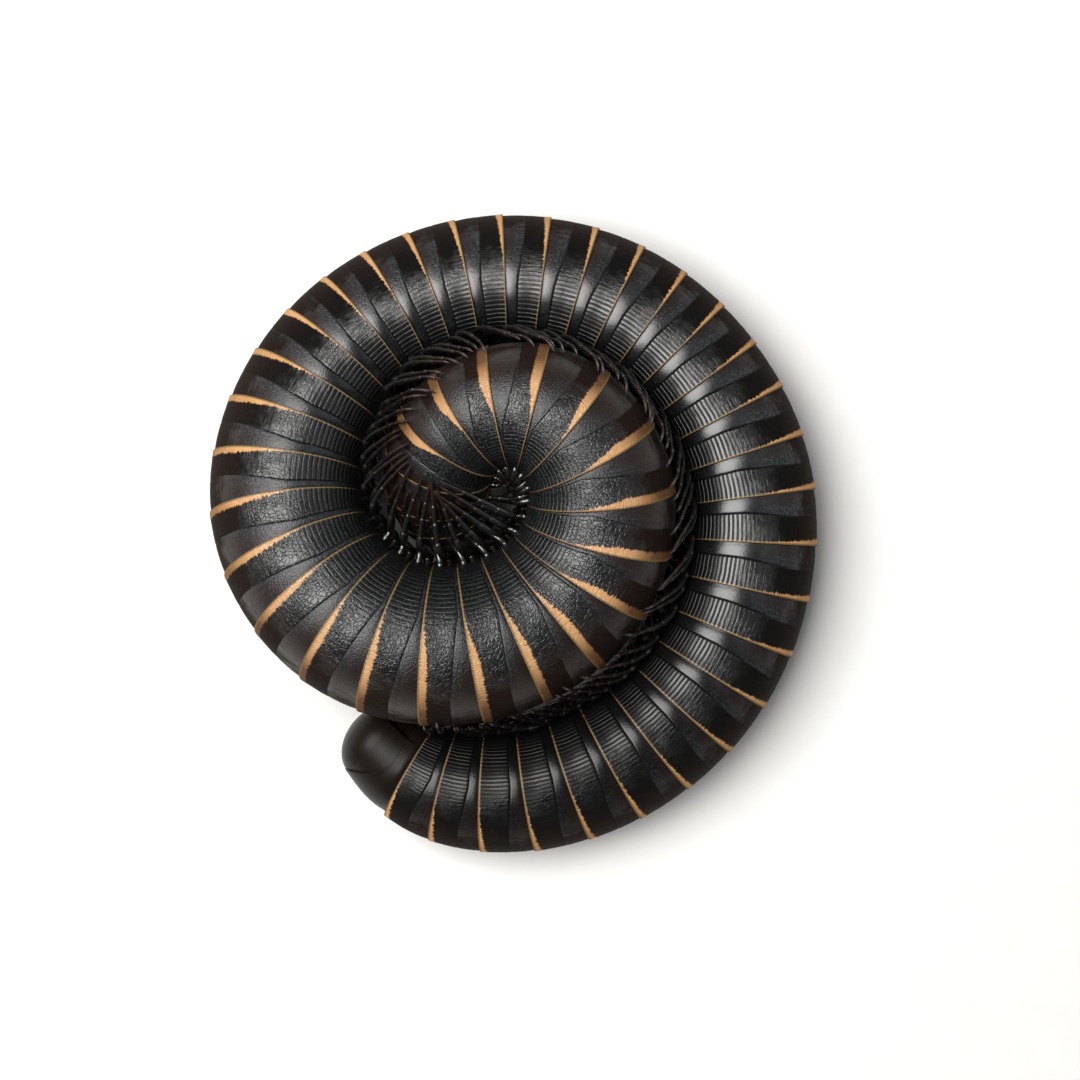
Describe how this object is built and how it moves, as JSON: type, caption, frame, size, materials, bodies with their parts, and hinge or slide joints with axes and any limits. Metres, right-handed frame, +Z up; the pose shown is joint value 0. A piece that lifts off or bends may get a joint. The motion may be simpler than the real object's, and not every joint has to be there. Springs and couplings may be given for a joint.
{
  "type": "coiled giant millipede display model",
  "caption": "Large dark, orange-banded millipede curled into a flat spiral on its side, head tucked into the middle: a still, life-size display model.",
  "frame": {"origin": "centre of the coil's own box, at the floor it rests on", "axes": "+Z up, out of the coil's upper (left) flank; +Y the coil's long way across; +X completes a right-handed set"},
  "size_m": [0.045, 0.0478, 0.0176],
  "materials": {
    "shell": "glossy black cuticle with matte slate-grey front halves and pale orange hind edges on the rings",
    "feeler": "dark red-brown satin cuticle",
    "eye": "polished black"
  },
  "bodies": {
    "root": {"trunk_01": "shell", "trunk_02": "shell", "trunk_03": "shell", "trunk_04": "shell", "trunk_05": "shell", "trunk_06": "shell", "trunk_07": "shell", "trunk_08": "shell", "trunk_09": "shell", "trunk_10": "shell", "collum": "shell", "head": "shell", "mandible_left": "shell", "mandible_right": "shell", "lower_lip": "shell", "preanal_ring": "shell", "anal_valve_left": "shell", "anal_valve_right": "shell", "subanal_scale": "shell", "antenna_left": "feeler", "antenna_right": "feeler", "eye_left": "eye", "eye_right": "eye"}
  },
  "joints": []
}
